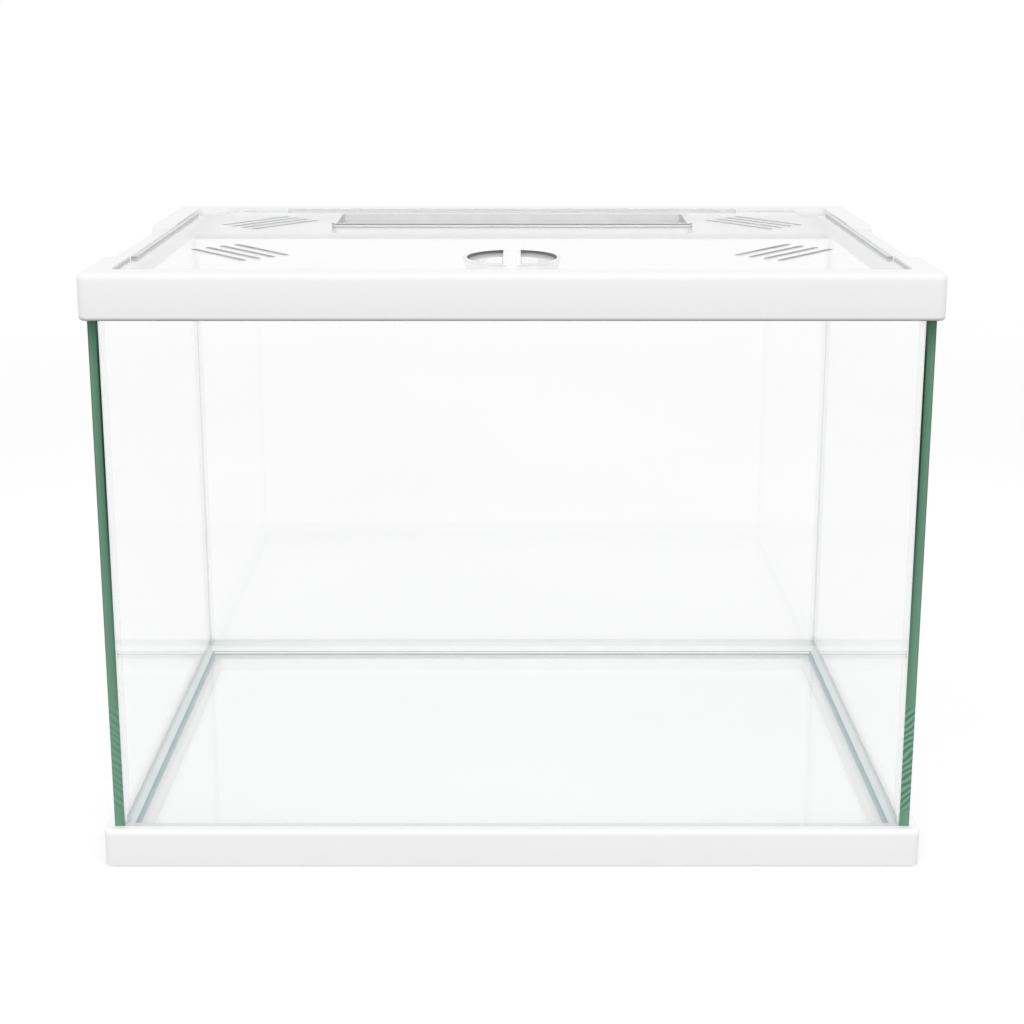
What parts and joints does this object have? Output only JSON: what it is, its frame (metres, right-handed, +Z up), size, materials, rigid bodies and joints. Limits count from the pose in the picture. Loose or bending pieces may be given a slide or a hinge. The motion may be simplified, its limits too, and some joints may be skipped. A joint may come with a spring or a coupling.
{
  "type": "framed glass aquarium",
  "caption": "Rectangular glass aquarium with moulded rim and base frames, silicone seams and a clear lift-off lid with vents, finger grip and rear opening.",
  "frame": {"origin": "middle of the base frame's underside, on the surface the tank stands on", "axes": "+X along the front towards the right-hand side pane, +Y from the front pane to the back pane, +Z up"},
  "size_m": [0.41, 0.26, 0.302],
  "materials": {
    "pane_glass": "clear float glass, ground edges, green when seen through the edge",
    "white_plastic": "moulded white plastic, soft gloss",
    "clear_plastic": "moulded clear plastic, polished",
    "silicone": "translucent silicone sealant"
  },
  "bodies": {
    "tank": {"base_frame": "white_plastic", "top_frame": "white_plastic", "front_pane": "pane_glass", "back_pane": "pane_glass", "left_pane": "pane_glass", "right_pane": "pane_glass", "floor_pane": "pane_glass", "front_left_corner_seal": "silicone", "front_right_corner_seal": "silicone", "back_left_corner_seal": "silicone", "back_right_corner_seal": "silicone", "front_floor_seal": "silicone", "back_floor_seal": "silicone", "left_floor_seal": "silicone", "right_floor_seal": "silicone", "top_frame_bond": "silicone", "base_frame_bond": "silicone"},
    "lid": {"lid": "clear_plastic"}
  },
  "joints": [
    {"name": "lid_lift", "type": "slide", "parent": "tank", "child": "lid", "axis": [0, 0, 1], "range_m": [0, 0.06]}
  ]
}
